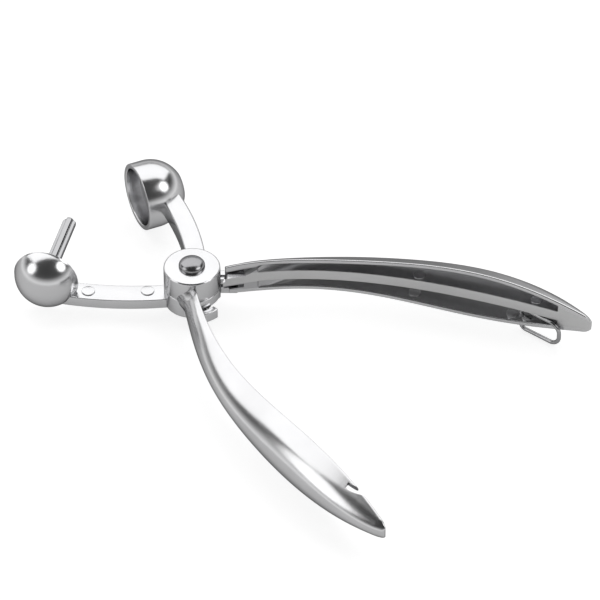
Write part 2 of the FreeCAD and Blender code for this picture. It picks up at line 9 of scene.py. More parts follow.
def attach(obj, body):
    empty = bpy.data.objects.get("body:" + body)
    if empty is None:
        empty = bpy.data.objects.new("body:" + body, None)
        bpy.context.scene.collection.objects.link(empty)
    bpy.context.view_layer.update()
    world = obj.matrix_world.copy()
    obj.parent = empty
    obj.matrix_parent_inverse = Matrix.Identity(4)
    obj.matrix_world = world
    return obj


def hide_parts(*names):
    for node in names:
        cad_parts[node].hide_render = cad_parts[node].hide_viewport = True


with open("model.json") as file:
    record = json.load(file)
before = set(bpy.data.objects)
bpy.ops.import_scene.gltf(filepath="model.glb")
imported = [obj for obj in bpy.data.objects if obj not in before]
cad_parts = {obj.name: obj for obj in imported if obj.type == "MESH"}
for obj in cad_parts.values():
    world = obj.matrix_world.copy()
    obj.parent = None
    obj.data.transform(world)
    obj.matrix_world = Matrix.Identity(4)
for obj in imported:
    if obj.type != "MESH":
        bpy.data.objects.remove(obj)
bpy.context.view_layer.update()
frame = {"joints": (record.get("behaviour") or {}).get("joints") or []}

# ---- Polished and as-cast zinc -----------------------------------------------------------
# Both levers are die-cast in zinc alloy. Outside they are ground, tumbled and plated to a
# mirror; in the channels the skin is as it left the mould, and the rib's top is satin.

POLISHED, AS_CAST, SATIN = 0, 1, 2
# Painted shade: a dark edge tint darkens the metal's reflection at glancing angles, in place of
# dark reflections along its edges.
PAINTED_EDGE_SHADE = 0.28
PATCH_DETAIL, RIPPLE_DETAIL = 4.0, 3.0
TINT_FROM, TINT_TO, DULL_SHARE = 0.35, 0.65, 0.93
BRUSHED = (0.15, 1, 1)


def metal(name, colour, roughness, patch_scale, patch_spread, ripple_scale, ripple_height,
          stretch=(1, 1, 1), painted_edge_shade=PAINTED_EDGE_SHADE):
    """Bare metal whose gloss wanders in patches and whose skin has a fine ripple. It darkens
    to its edge tint where it is seen at a glancing angle: painted shade that stands in for
    the dark reflections along its edges."""
    material = bpy.data.materials.new(name)
    material.use_nodes = True
    nodes, links = material.node_tree.nodes, material.node_tree.links
    shader = nodes["Principled BSDF"]
    shader.inputs["Metallic"].default_value = 1.0
    # Painted shade: the dark edge tint darkens every glancing edge.
    shader.inputs["Specular Tint"].default_value = (painted_edge_shade, painted_edge_shade, painted_edge_shade, 1.0)
    place = nodes.new("ShaderNodeTexCoord")
    grain = nodes.new("ShaderNodeMapping")
    grain.inputs["Scale"].default_value = stretch
    links.new(place.outputs["Object"], grain.inputs["Vector"])

    patches = nodes.new("ShaderNodeTexNoise")
    patches.inputs["Scale"].default_value = patch_scale
    patches.inputs["Detail"].default_value = PATCH_DETAIL
    links.new(grain.outputs["Vector"], patches.inputs["Vector"])
    gloss = nodes.new("ShaderNodeMapRange")
    gloss.inputs["To Min"].default_value = roughness - patch_spread
    gloss.inputs["To Max"].default_value = roughness + patch_spread
    links.new(patches.outputs["Fac"], gloss.inputs["Value"])
    links.new(gloss.outputs["Result"], shader.inputs["Roughness"])

    tint = nodes.new("ShaderNodeValToRGB")
    dull, bright = tint.color_ramp.elements
    dull.position, bright.position = TINT_FROM, TINT_TO
    dull.color = (*[level * DULL_SHARE for level in colour], 1.0)
    bright.color = (*colour, 1.0)
    links.new(patches.outputs["Fac"], tint.inputs["Fac"])
    links.new(tint.outputs["Color"], shader.inputs["Base Color"])

    ripple = nodes.new("ShaderNodeTexNoise")
    ripple.inputs["Scale"].default_value = ripple_scale
    ripple.inputs["Detail"].default_value = RIPPLE_DETAIL
    links.new(grain.outputs["Vector"], ripple.inputs["Vector"])
    skin = nodes.new("ShaderNodeBump")
    skin.inputs["Strength"].default_value = 1.0
    skin.inputs["Distance"].default_value = ripple_height
    links.new(ripple.outputs["Fac"], skin.inputs["Height"])
    links.new(skin.outputs["Normal"], shader.inputs["Normal"])
    return material


polished_zinc = metal("polished_zinc", (0.8, 0.8, 0.81), roughness=0.2, patch_scale=60,
                      patch_spread=0.03, ripple_scale=220, ripple_height=0.000012)
cast_zinc = metal("cast_zinc", (0.62, 0.62, 0.63), roughness=0.34, patch_scale=90,
                  patch_spread=0.06, ripple_scale=500, ripple_height=0.00005)
satin_zinc = metal("satin_zinc", (0.8, 0.8, 0.8), roughness=0.42, patch_scale=120,
                   patch_spread=0.05, ripple_scale=900, ripple_height=0.00003, stretch=BRUSHED)
ZINC = (polished_zinc, cast_zinc, satin_zinc)

# ---- Handles -----------------------------------------------------------------------------
# The grips of the two levers, alike but for their bow: cast shells, open towards each other,
# with a flat rib down the middle that parts two channels. Each back is full, and on either
# side a rounded crease parts it from a sloping facet that runs up to the rim.

HANDLE_START, HANDLE_LENGTH = 10.0, 124.0
HALF_WIDTHS = (6.0, 9.2, 0.4, 17.9, 10.0, 3.1)
DEPTHS = (4.9, 4.0, 13.2, 6.2, 17.3, 2.4)
PUNCH_BOW = (2.4, 16.6, 12.8, 9.9, 0.3)
CUP_BOW = (3.3, 14.0, 12.4, 2.5, 0.6)
CREASE = (0.39, 0.58, -0.16, 1.2, 0.46, 0.32)
FACET_SLOPE = (0.55, 0.6, 0.6, 0.28)
BACK_FULLNESS, CREASE_ROUND, CREASE_SHARE = 0.5, 1.0, 0.3
FACET_ENDS = (0.04, 0.96)
RIM, RIM_LAND, RIM_FLAT, OUT_EDGE, IN_EDGE = 1.9, 0.8, 0.7, 1.0, 0.5
EDGE_LIMIT, RIM_LIMIT = 4, 3
RIB_HALF, RIB_EDGE, RIB_SHARE = 2.0, 0.3, 0.6
BACK_STEPS, CREASE_STEPS, OUT_STEPS, IN_STEPS, RIB_STEPS = 20, 6, 8, 5, 4
CHANNEL_TURN, CHANNEL_STEPS = 5, 18
CHANNEL_START, CHANNEL_FULL, CHANNEL_END, CHANNEL_SHALLOW = 0.09, 0.19, 0.905, 0.45
CAST_STEP = 0.0015
SECTIONS_PER_LENGTH, LAST_SECTION = 110, 107
TIP_ROUND, TIP_LEFT, TIP_TURN, TIP_STEPS = 0.024, 0.4, 9, 10
NECK_SLOPE, NECK_GROWTH, NECK_SHARES = 0.17, 0.1, (1.0, 0.66, 0.33)


def along(heights, place):
    """Height of a smooth curve with these control heights, at a place from 0 to 1."""
    last = len(heights) - 1
    return sum(
        math.comb(last, index) * place**index * (1 - place) ** (last - index) * height
        for index, height in enumerate(heights)
    )


def channel_fill(place):
    """How deep the channels are at a place, as a share of the full depth."""
    if not CHANNEL_START <= place <= CHANNEL_END:
        return 0.0
    rise = min((place - CHANNEL_START) / (CHANNEL_FULL - CHANNEL_START), 1.0)
    return CHANNEL_SHALLOW + (1.0 - CHANNEL_SHALLOW) * rise


def bend(controls, steps):
    """Points of a smooth curve pulled towards its controls between the first and the last."""
    return [
        tuple(along(values, step / steps) for values in zip(*controls))
        for step in range(steps + 1)
    ]


def half_section(bow, half, deep, fill, crease, slope):
    """Half of a handle's section as (y, z, finish): round the back, along the flat side, over
    the rim, down the channel and up the rib."""
    reach, rim_top, back = deep * crease, Vector((bow, half)), bow + deep
    shoulder = rim_top + Vector((reach, -reach * slope))
    swell = Vector((back, shoulder.y * BACK_FULLNESS))
    out_edge = min(OUT_EDGE, half / EDGE_LIMIT)
    room = min(CREASE_ROUND, CREASE_SHARE * reach)
    before = shoulder + (swell - shoulder).normalized() * room
    after = shoulder + (rim_top - shoulder).normalized() * room
    last_flat = rim_top + (shoulder - rim_top).normalized() * out_edge
    outline = bend([(back, 0), swell, before], BACK_STEPS)
    outline += bend([before, shoulder, after], CREASE_STEPS)[1:]
    outline += [tuple(after.lerp(last_flat, share)) for share in FACET_ENDS]
    outline += bend([last_flat, rim_top, (bow, half - out_edge)], OUT_STEPS)
    points = [(y, z, POLISHED) for y, z in outline]

    wall = half - min(RIM, half / RIM_LIMIT)
    floor = max(fill * deep - RIM, 0.0) if fill else 0.0
    rim_front, rib = (half - out_edge - wall) * RIM_FLAT, min(RIB_HALF, RIB_SHARE * wall)
    land, lip, rib_lip = (min(size, floor) for size in (RIM_LAND, IN_EDGE, RIB_EDGE))
    inner_edge = bend([(bow, wall + rim_front), (bow, wall), (bow + lip, wall)], IN_STEPS)
    points += [(y, z, POLISHED) for y, z in inner_edge]
    turns = [math.radians(CHANNEL_TURN * step) for step in range(CHANNEL_STEPS)]
    points += [
        (bow + land + (floor - land) * math.sin(turn), rib + (wall - rib) * math.cos(turn), AS_CAST)
        for turn in turns
    ]
    points.append((bow + floor, rib, AS_CAST))
    rib_corner = bend([(bow + rib_lip, rib), (bow, rib), (bow, rib - RIB_EDGE)], RIB_STEPS)
    points += [(y, z, SATIN) for y, z in rib_corner]
    points.append((bow, 0.0, SATIN))
    return points


def as_mesh(shell, name):
    """The shell's faces as a mesh of that name."""
    mesh = bpy.data.meshes.new(name)
    shell.to_mesh(mesh)
    shell.free()
    return mesh


def skin_over(sections, finishes, mesh_name):
    """Closed mesh over a row of closed sections with the same number of points; finishes has
    one per edge."""
    shell = bmesh.new()
    rings = [[shell.verts.new(point) for point in section] for section in sections]
    count = len(rings[0])
    for near, far in zip(rings, rings[1:]):
        for index in range(count):
            after = (index + 1) % count
            face = shell.faces.new((near[index], near[after], far[after], far[index]))
            face.material_index = finishes[index]
    shell.faces.new(rings[0][::-1])
    shell.faces.new(rings[-1])
    bmesh.ops.recalc_face_normals(shell, faces=shell.faces)
    return as_mesh(shell, mesh_name)


def handle_mesh(name, bow_heights, neck_start=None):
    """One handle in its lever's own frame, in millimetres: x to the tip, y away from the other
    handle. Its tip is rounded over, and with a neck start its root runs on into the boss."""
    places = {step / SECTIONS_PER_LENGTH for step in range(LAST_SECTION + 1)}
    places |= {CHANNEL_START, CHANNEL_START - CAST_STEP, CHANNEL_END, CHANNEL_END + CAST_STEP}
    tip_turns = [math.radians(TIP_TURN * step) for step in range(TIP_STEPS)]
    places |= {1 - TIP_ROUND * (1 - math.sin(turn)) for turn in tip_turns}
    if neck_start is not None:
        root = (neck_start - HANDLE_START) / HANDLE_LENGTH
        places |= {root * share for share in NECK_SHARES}
    sections = []
    for place in sorted(places):
        x = HANDLE_START + HANDLE_LENGTH * place
        on, neck = max(place, 0.0), max(HANDLE_START - x, 0.0)
        bow = along(bow_heights, on) - NECK_SLOPE * neck
        half = along(HALF_WIDTHS, on) + NECK_GROWTH * neck
        deep = along(DEPTHS, on) + NECK_SLOPE * neck
        past = max(place - 1 + TIP_ROUND, 0.0) / TIP_ROUND
        shrink = TIP_LEFT + (1 - TIP_LEFT) * math.sqrt(max(1 - past**2, 0.0))
        bow, deep = bow + deep * (1 - shrink) / 2, deep * shrink
        crease, slope = along(CREASE, on), along(FACET_SLOPE, on)
        upper = half_section(bow, half * shrink, deep, channel_fill(place), crease, slope)
        loop = upper + [(y, -z, finish) for y, z, finish in upper[-2:0:-1]]
        sections.append([(x, y, z) for y, z, finish in loop])
    half_finishes = [finish for y, z, finish in upper]
    mesh = skin_over(sections, half_finishes + half_finishes[-2:0:-1], name)
    solid_from = HANDLE_START + HANDLE_LENGTH * CHANNEL_END
    for face in mesh.polygons:
        if face.material_index == AS_CAST and face.center.x > solid_from:
            face.material_index = SATIN
    return mesh


# ---- Pivot bosses, necks and arms --------------------------------------------------------
# Each lever is one casting: half of the pivot boss, a short neck to the handle, and a curved
# bar to the bowl or the cup. The two halves meet in a thin joint line and turn on the rivet.

BOSS_RADIUS, BOSS_HALF, BOSS_EDGE, JOINT_EDGE = 9.5, 7.6, 0.8, 0.35
BOSS_EDGE_TURN, JOINT_EDGE_TURN = 15, 30
PUNCH_TOP, CUP_TOP = -0.45, 0.35
NECK = [(4, 3), (9.9, 3.9), (14.5, 4.6), (14.5, 9.2), (4, 8.6)]
ARM_STEPS = 24
ROUND_TURNS, FINE_TURNS, SAME_POINT = 96, 128, 0.0005
SHARP_FROM, EDGE_SEGMENTS, EDGE_PROFILE = math.radians(40), 3, 0.5


def laid(centre, heading):
    """Place of a piece whose own upright axis is laid level at a heading, about a centre."""
    swing = Matrix.Rotation(math.radians(heading), 4, "Z")
    lay = swing @ Matrix.Rotation(math.radians(90), 4, "Y")
    return Matrix.Translation((*centre, 0)) @ lay


def turned(profile, name, centre=(0, 0), heading=None, turns=ROUND_TURNS, inner=None):
    """Ring mesh from a closed profile of (radius, height); its axis lies at a heading in the
    level plane, or stands upright when the heading is None. From the point numbered inner on,
    the skin is as cast."""
    shell = bmesh.new()
    rings = []
    for step in range(turns):
        turn = 2 * math.pi * step / turns
        ring = [(r * math.cos(turn), r * math.sin(turn), height) for r, height in profile]
        rings.append([shell.verts.new(point) for point in ring])
    count = len(profile)
    for step in range(turns):
        near, far = rings[step], rings[(step + 1) % turns]
        for index in range(count):
            after = (index + 1) % count
            face = shell.faces.new((near[index], near[after], far[after], far[index]))
            face.material_index = AS_CAST if inner and inner <= index < count - 1 else POLISHED
    bmesh.ops.remove_doubles(shell, verts=shell.verts, dist=SAME_POINT)
    bmesh.ops.recalc_face_normals(shell, faces=shell.faces)
    if heading is not None:
        shell.transform(laid(centre, heading))
    return as_mesh(shell, name)


def edge_points(edge, level, side, turns):
    """Points of the boss's rounded edge, side 1 above a level and -1 below it."""
    rows = [(1 - math.cos(math.radians(turn)), 1 - math.sin(math.radians(turn))) for turn in turns]
    return [(BOSS_RADIUS - edge * inward, level + side * edge * off) for inward, off in rows]


def boss_mesh(name, top, bore, chamber):
    """Half boss with rounded outer edges; the punch lever's has a chamber for the spring."""
    low = -BOSS_HALF
    inner = [(bore, low)]
    if chamber is not None:
        wide, roof = chamber
        inner = [(bore, roof), (wide, roof), (wide, low)]
    outer_edge = edge_points(BOSS_EDGE, low, 1, range(90, -1, -BOSS_EDGE_TURN))
    joint_edge = edge_points(JOINT_EDGE, top, -1, range(0, 91, JOINT_EDGE_TURN))
    profile = [(bore, top), *inner, *outer_edge, *joint_edge]
    return turned(profile, name, turns=FINE_TURNS)


def block_mesh(name, outline, low, high, edge=0.0):
    """Straight-walled block over an outline, with its sharp edges rounded by the edge."""
    block = bmesh.new()
    floor = block.faces.new([block.verts.new((*corner, low)) for corner in outline])
    grown = bmesh.ops.extrude_face_region(block, geom=[floor])
    top = [item for item in grown["geom"] if isinstance(item, bmesh.types.BMVert)]
    bmesh.ops.translate(block, verts=top, vec=(0, 0, high - low))
    bmesh.ops.recalc_face_normals(block, faces=block.faces)
    if edge:
        sharp = [line for line in block.edges if line.calc_face_angle() > SHARP_FROM]
        bmesh.ops.bevel(block, geom=sharp, offset=edge, segments=EDGE_SEGMENTS,
                        profile=EDGE_PROFILE, affect="EDGES", clamp_overlap=True)
    return as_mesh(block, name)


def bowed(start, end, radius, side):
    """Points of an arc between two points; side is 1 when its centre lies left of the way
    from start to end."""
    start, end = Vector(start), Vector(end)
    run = end - start
    left = Vector((-run.y, run.x)).normalized()
    rise = math.sqrt(radius**2 - run.length_squared / 4)
    centre = (start + end) / 2 + left * side * rise
    first = math.atan2(*(start - centre).yx)
    sweep = 2 * math.asin(run.length / 2 / radius) * side
    turns = [first + sweep * step / ARM_STEPS for step in range(ARM_STEPS + 1)]
    return [
        (centre.x + radius * math.cos(turn), centre.y + radius * math.sin(turn))
        for turn in turns
    ]


def arm_outline(start_x, start_sides, end_x, end_sides, radius):
    """Outline of an arm: its inner side out to the bowl or cup, then its outer side back."""
    inner = bowed((-start_x, start_sides[0]), (-end_x, end_sides[0]), radius, -1)
    outer = bowed((-end_x, end_sides[1]), (-start_x, start_sides[1]), radius, 1)
    return inner + outer


# ---- Punch lever -------------------------------------------------------------------------
# The lower lever: a half-ball bowl on the arm holds the punch rod, and the boss's underside
# has a round chamber with a window for the spring. Its room for the other boss is turned out
# above the joint line, and its lower wall is drilled for the bail.

MM = 0.001
PIVOT = Vector(frame["joints"][0]["pos_m"])
OPENING = 26
HALF_OPEN = math.radians(OPENING)
TO_METRES = Matrix.Scale(MM, 4)
PUNCH_PLACE = Matrix.Translation(PIVOT) @ Matrix.Rotation(HALF_OPEN, 4, "Z") @ TO_METRES
SMOOTH_TO = math.radians(35)

FAR, AXIS_GAP, ROUND_TO, ROUND_STEPS, SECTOR_STEPS = 30.0, 0.0001, 359.9, 120, 14
CHAMBER_RADIUS, CHAMBER_ROOF, BORE_RADIUS = 5.4, 1.8, 3.05
BOWL_CENTRE, BOWL_HEADING = (-48.5, -3.2), 86.1
BOWL_OUTER, BOWL_INNER, BOWL_RIM, BOWL_ROOM, SOCKET_SKIN = 11.3, 9.7, 2.0, 4.0, 0.7
MOUTH_LIP, LIP_TURN, LIP_STEPS, BALL_STEPS, INNER_DROP = 0.35, 30, 4, 30, 3.0
ARM_TOP, ARM_EDGE, NECK_FLOOR = -3.8, 0.3, -6.6
PUNCH_ARM = (7.0, (-5.1, 2.7), 46.0, (-9.2, -1.4), 110.0)
BAIL_PLACE, BAIL_HOLE, BAIL_HOLE_TOP = (109.75, 9.44), 0.78, -3.1
BAIL_ROUND_TO, BAIL_ROUND_STEPS = 359, 24
BOSS_ROOM, LUG_ROOM, LUG_ROOM_SPAN, LUG_ROOM_TOP = 11.4, (0.02, 12.45), (-26, 18.5), -3.65
LEG_GROOVE_SIDES, FIXED_LEG_TURN, FIXED_GROOVE_END = (3.35, 4.65), 9.5, 17.2
LEG_SLOT = [(9, 0), (16.6, 0), (16.6, 7.1), (9, 6.3)]
LEG_SLOT_FLOOR, LEG_SLOT_TOP = -3.85, -2.45
POCKET_MOUTH = [(8, -2, 0.9), (19.6, -2, 0.9), (28.0, -2, 5.4), (8, -2, 4.9)]
POCKET_FLOOR = [(8, 4.2, 0.9), (16.6, 7.2, 0.9), (22.0, 9.0, 4.4), (8, 4.2, 3.5)]
FLOOR_FACING = 0.8
SPRING_WINDOW = [(-1.6, -4.8), (9.8, -8.5), (12.5, 4.6), (1.6, -2.0)]
SOCKET = [(0, -10.6), (3.4, -10.6), (3.4, -7.1), (3.1, -6.8), (0, -6.8)]
PAD_TURNS, PAD_ROOT, PAD_STEP, PAD_CHAMFER = 48, -0.4, 0.2, 0.06
PAD_RADIUS, PAD_RISE, PAD_LEAN = 2.1, 0.3, 14
ARM_PAD_RADIUS, ARM_PAD_RISE = 2.25, 0.45
ARM_PADS = ((-34.4, -5.6), (-14.85, -2.2))
RIB_PADS = ((74.6, 14.2), (114.8, 8.4))
WALL_PADS = ((73.0, 15.1, -6.6), (106.7, 10.0, -6.8), (111.8, 8.9, -6.1))


def sector(inner, outer, low, high, centre=(0, 0), steps=SECTOR_STEPS):
    """Outline of a piece of a ring between two angles in degrees."""
    turns = [math.radians(low + (high - low) * step / steps) for step in range(steps + 1)]
    out, back = (
        [(centre[0] + radius * math.cos(turn), centre[1] + radius * math.sin(turn)) for turn in row]
        for radius, row in ((outer, turns), (inner, turns[::-1]))
    )
    return out + back


def disc(radius, centre=(0, 0), last=ROUND_TO, steps=ROUND_STEPS):
    """Outline of a round cutter, closed but for a hair's breadth."""
    return sector(AXIS_GAP, radius, 0, last, centre, steps)


def strip(left, right, low, high, turn=0.0):
    """Corners of a rectangle, turned about the pivot."""
    spin = Matrix.Rotation(math.radians(turn), 2)
    corners = ((left, low), (right, low), (right, high), (left, high))
    return [tuple(spin @ Vector(corner)) for corner in corners]


def put(name, data):
    """A new object with this data, put in the scene."""
    item = bpy.data.objects.new(name, data)
    bpy.context.scene.collection.objects.link(item)
    return item


def carve(mesh, *cutters):
    """The mesh with the cutters' space taken out of it."""
    whole, tools = put("casting", mesh), []
    for cutter in cutters:
        tool = put("cutter", cutter)
        tools.append(tool)
        away = whole.modifiers.new("carve", "BOOLEAN")
        away.operation, away.solver, away.object = "DIFFERENCE", "EXACT", tool
    finished = whole.evaluated_get(bpy.context.evaluated_depsgraph_get())
    carved = bpy.data.meshes.new_from_object(finished)
    for item in [whole, *tools]:
        bpy.data.objects.remove(item)
    return carved


def casting(name, place, body, node, meshes, materials=ZINC):
    """One object in the frame from meshes in a lever's own frame, riding on a body and
    standing for a node."""
    whole = bmesh.new()
    for mesh in meshes:
        whole.from_mesh(mesh)
    whole.transform(place)
    joined = as_mesh(whole, name)
    for material in materials:
        joined.materials.append(material)
    joined.polygons.foreach_set("use_smooth", [True] * len(joined.polygons))
    joined.set_sharp_from_angle(angle=SMOOTH_TO)
    piece = put(name, joined)
    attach(piece, body)
    if node:
        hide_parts(node)


def bowl_arc(radius, straight, first, last):
    """Part of a ball's profile as (radius, height), between two angles below its middle."""
    spread = [first + (last - first) * step / BALL_STEPS for step in range(BALL_STEPS + 1)]
    turns = [math.radians(angle) for angle in spread]
    return [(radius * math.cos(turn), -straight - radius * math.sin(turn)) for turn in turns]


def ball_profile(outer, inner, straight, opening, rim=0.0):
    """Closed profile of a round shell, from its bottom out, up to the mouth and down inside."""
    out_wide, in_wide = math.sqrt(outer**2 - rim**2), math.sqrt(inner**2 - rim**2)
    turns = [math.radians(LIP_TURN * step) for step in range(LIP_STEPS)]
    lips = [(MOUTH_LIP * (1 - math.cos(turn)), MOUTH_LIP * (1 - math.sin(turn))) for turn in turns]
    mouth = [(out_wide - inward, -rim - down) for inward, down in lips]
    mouth += [(in_wide + outward, -rim - down) for down, outward in lips]
    top = 0.0 if straight else math.degrees(math.asin(rim / outer)) + INNER_DROP
    out_low, in_low = (math.degrees(math.acos(opening / radius)) for radius in (outer, inner))
    outside = bowl_arc(outer, straight, out_low, top)
    return outside + mouth + bowl_arc(inner, straight, top, in_low)


def pad_mesh(name, spot, radius=PAD_RADIUS, rise=PAD_RISE, lean=0.0):
    """Low round pad left by an ejector pin; lean tips it about the handle's length."""
    profile = [
        (0, PAD_ROOT), (radius, PAD_ROOT), (radius, rise - PAD_STEP),
        (radius - PAD_CHAMFER, rise - PAD_CHAMFER), (radius - PAD_STEP, rise), (0, rise),
    ]
    pad = turned(profile, name, turns=PAD_TURNS)
    tip = Matrix.Rotation(math.radians(lean), 4, "X")
    pad.transform(Matrix.Translation(spot) @ tip)
    return pad


root_pocket = skin_over(
    [POCKET_MOUTH, POCKET_FLOOR], [POLISHED, SATIN, POLISHED, POLISHED], "root_pocket"
)
for face in root_pocket.polygons:
    if abs(face.normal.y) > FLOOR_FACING:
        face.material_index = AS_CAST
leg_slot = block_mesh("leg_slot", LEG_SLOT, LEG_SLOT_FLOOR, LEG_SLOT_TOP)
boss_room = block_mesh("room", disc(BOSS_ROOM), PUNCH_TOP, FAR)
lug_ring = sector(BOSS_RADIUS + LUG_ROOM[0], LUG_ROOM[1], *LUG_ROOM_SPAN)
lug_room = block_mesh("lug_room", lug_ring, -FAR, LUG_ROOM_TOP)
bail_ring = disc(BAIL_HOLE, BAIL_PLACE, BAIL_ROUND_TO, BAIL_ROUND_STEPS)
bail_hole = block_mesh("bail_hole", bail_ring, -FAR, BAIL_HOLE_TOP)
fixed_strip = strip(0, FIXED_GROOVE_END, *LEG_GROOVE_SIDES, FIXED_LEG_TURN)
leg_groove = block_mesh("leg_groove", fixed_strip, ARM_TOP, FAR)
window = block_mesh("window", SPRING_WINDOW, -FAR, ARM_TOP)

in_wall = BOWL_INNER + SOCKET_SKIN
mouth_width = math.sqrt(BOWL_INNER**2 - BOWL_RIM**2)
hollow_arc = bowl_arc(in_wall, 0, 90, math.degrees(math.asin(BOWL_RIM / in_wall)))
hollow_mouth = [(mouth_width, -BOWL_RIM), (mouth_width, BOWL_ROOM), (0, BOWL_ROOM)]
bowl_hollow = turned([*hollow_arc, *hollow_mouth], "hollow", BOWL_CENTRE, BOWL_HEADING)
bowl_profile = ball_profile(BOWL_OUTER, BOWL_INNER, 0, AXIS_GAP, BOWL_RIM)
punch_chamber = (CHAMBER_RADIUS, PUNCH_TOP - CHAMBER_ROOF)

handle = handle_mesh("punch_handle", PUNCH_BOW)
boss = boss_mesh("punch_boss", PUNCH_TOP, BORE_RADIUS, punch_chamber)
neck = block_mesh("punch_neck", NECK, NECK_FLOOR, PUNCH_TOP, ARM_EDGE)
arm = block_mesh("punch_arm", arm_outline(*PUNCH_ARM), -BOSS_HALF, ARM_TOP, ARM_EDGE)
casting("punch_lever_casting", PUNCH_PLACE, "punch_lever", "punch_lever", [
    carve(handle, boss_room, root_pocket, lug_room, bail_hole, leg_groove, leg_slot),
    carve(boss, leg_groove, window),
    carve(neck, leg_groove, leg_slot),
    carve(arm, bowl_hollow),
    *[pad_mesh("arm_pad", (*spot, ARM_TOP), ARM_PAD_RADIUS, ARM_PAD_RISE) for spot in ARM_PADS],
    *[pad_mesh("rib_pad", (*spot, RIB_HALF)) for spot in RIB_PADS],
    *[pad_mesh("wall_pad", spot, lean=PAD_LEAN) for spot in WALL_PADS],
    turned(bowl_profile, "bowl", BOWL_CENTRE, BOWL_HEADING, FINE_TURNS),
    turned(SOCKET, "socket", BOWL_CENTRE, BOWL_HEADING),
])

# ---- Punch rod ---------------------------------------------------------------------------
# Steel rod pressed into the bowl's socket. Four flutes run to the rounded tip, so the stone
# is gripped.

ROD_RADIUS, FLUTE_RADIUS, FLUTE_OUT = 2.3, 0.95, 1.75
ROD_ROOT, FLUTE_BEFORE, FLUTE_FROM, ROD_NECK, ROD_TIP = -10.2, -6.2, -6.0, 26.3, 27.6
ROD_FACE, ROD_STEPS, ROD_TIP_TURN, ROD_TIP_STEPS = 0.9, 96, 15, 7


def rod_section(radius, fluted):
    """Round section of the rod, with the four flutes pressed in where it is fluted."""
    outline = []
    middle = FLUTE_OUT * math.sqrt(2)
    for step in range(ROD_STEPS):
        turn = 2 * math.pi * step / ROD_STEPS
        reach = radius
        off = (turn % (math.pi / 2)) - math.pi / 4
        inside = FLUTE_RADIUS**2 - (middle * math.sin(off)) ** 2
        if fluted and inside > 0:
            reach = min(radius, middle * math.cos(off) - math.sqrt(inside))
        outline.append((reach * math.cos(turn), reach * math.sin(turn)))
    return outline


rod_levels = [(level, ROD_RADIUS) for level in (ROD_ROOT, FLUTE_BEFORE, FLUTE_FROM, ROD_NECK)]
for step in range(ROD_TIP_STEPS):
    turn = math.radians(ROD_TIP_TURN * step)
    tip_level = ROD_NECK + (ROD_TIP - ROD_NECK) * math.sin(turn)
    rod_levels.append((tip_level, ROD_FACE + (ROD_RADIUS - ROD_FACE) * math.cos(turn)))
rod_sections = [
    [(x, y, level) for x, y in rod_section(radius, level > FLUTE_BEFORE)]
    for level, radius in rod_levels
]
rod_mesh = skin_over(rod_sections, [0] * ROD_STEPS, "rod")
rod_mesh.transform(laid(BOWL_CENTRE, BOWL_HEADING))
# Its edge tint of 0.1 is painted shade that makes the rod, washer, spring and bail darker still at
# glancing edges.
bright_steel = metal("bright_steel", (0.52, 0.52, 0.53), roughness=0.14, patch_scale=150,
                     patch_spread=0.04, ripple_scale=600, ripple_height=0.00001, painted_edge_shade=0.1)
casting("fluted_punch", PUNCH_PLACE, "punch_lever", "punch_rod", [rod_mesh], [bright_steel])

# ---- Cup lever ---------------------------------------------------------------------------
# The upper lever: a deep round cup that the fruit sits in, drilled through for the stone. A
# lug under the boss takes the spring's free leg, and the handle's walls are notched near the
# tip to catch the bail.

TURN_OVER = Matrix.Rotation(math.pi, 4, "X")
CUP_SWING = Matrix.Rotation(-HALF_OPEN, 4, "Z")
CUP_PLACE = Matrix.Translation(PIVOT) @ CUP_SWING @ TURN_OVER @ TO_METRES
CUP_CENTRE, CUP_HEADING = (-48.15, -3.8), 94.5
CUP_OUTER, CUP_INNER, CUP_STRAIGHT, STONE_HOLE, CUP_SKIN = 11.75, 10.05, 5.0, 5.3, 0.8
CUP_BORE, CUP_NECK_START, CUP_ROOM = 3.0, 4.5, 10.2
CUP_MOUTH_ROOM, CUP_ARM_FLOOR, CUP_ARM_TOP, CUP_ARM_EDGE = 1, -4.2, 2.8, 0.8
CUP_ARM = (7.0, (-8.7, -1.7), 41.0, (-15.5, -8.7), 100.0)
CATCH_RING, CATCH_SPAN, CATCH_WALL = (14.4, 16.45), (40.0, 69.5), 2.4
LUG_RING, LUG_SPAN, LUG_FLOOR, LUG_EDGE = (10.1, 12.3), (-16.5, 26.0), 3.8, 0.3
FREE_GROOVE, FREE_LEG_TURN, FREE_GROOVE_FLOOR = (7.6, 10.9), 33.6, 5.65
CUP_INSIDE = BALL_STEPS + 1 + 2 * LIP_STEPS

cup_room = block_mesh("cup_room", disc(CUP_ROOM), CUP_TOP, FAR)
catch_centre = (BAIL_PLACE[0], -BAIL_PLACE[1])
catch_ring = sector(*CATCH_RING, *CATCH_SPAN, catch_centre)
catches = [
    block_mesh("catch", catch_ring, *span) for span in ((-FAR, -CATCH_WALL), (CATCH_WALL, FAR))
]
cup_wall = CUP_INNER + CUP_SKIN
hollow_arc = bowl_arc(cup_wall, CUP_STRAIGHT, 90, 0)
hollow_mouth = [(cup_wall, CUP_MOUTH_ROOM), (0, CUP_MOUTH_ROOM)]
cup_hollow = turned([*hollow_arc, *hollow_mouth], "hollow", CUP_CENTRE, CUP_HEADING)
cup_profile = ball_profile(CUP_OUTER, CUP_INNER, CUP_STRAIGHT, STONE_HOLE)
free_strip = strip(*FREE_GROOVE, *LEG_GROOVE_SIDES, -FREE_LEG_TURN)
free_leg_groove = block_mesh("free_leg_groove", free_strip, FREE_GROOVE_FLOOR, FAR)
lug_outline = sector(*LUG_RING, *LUG_SPAN)

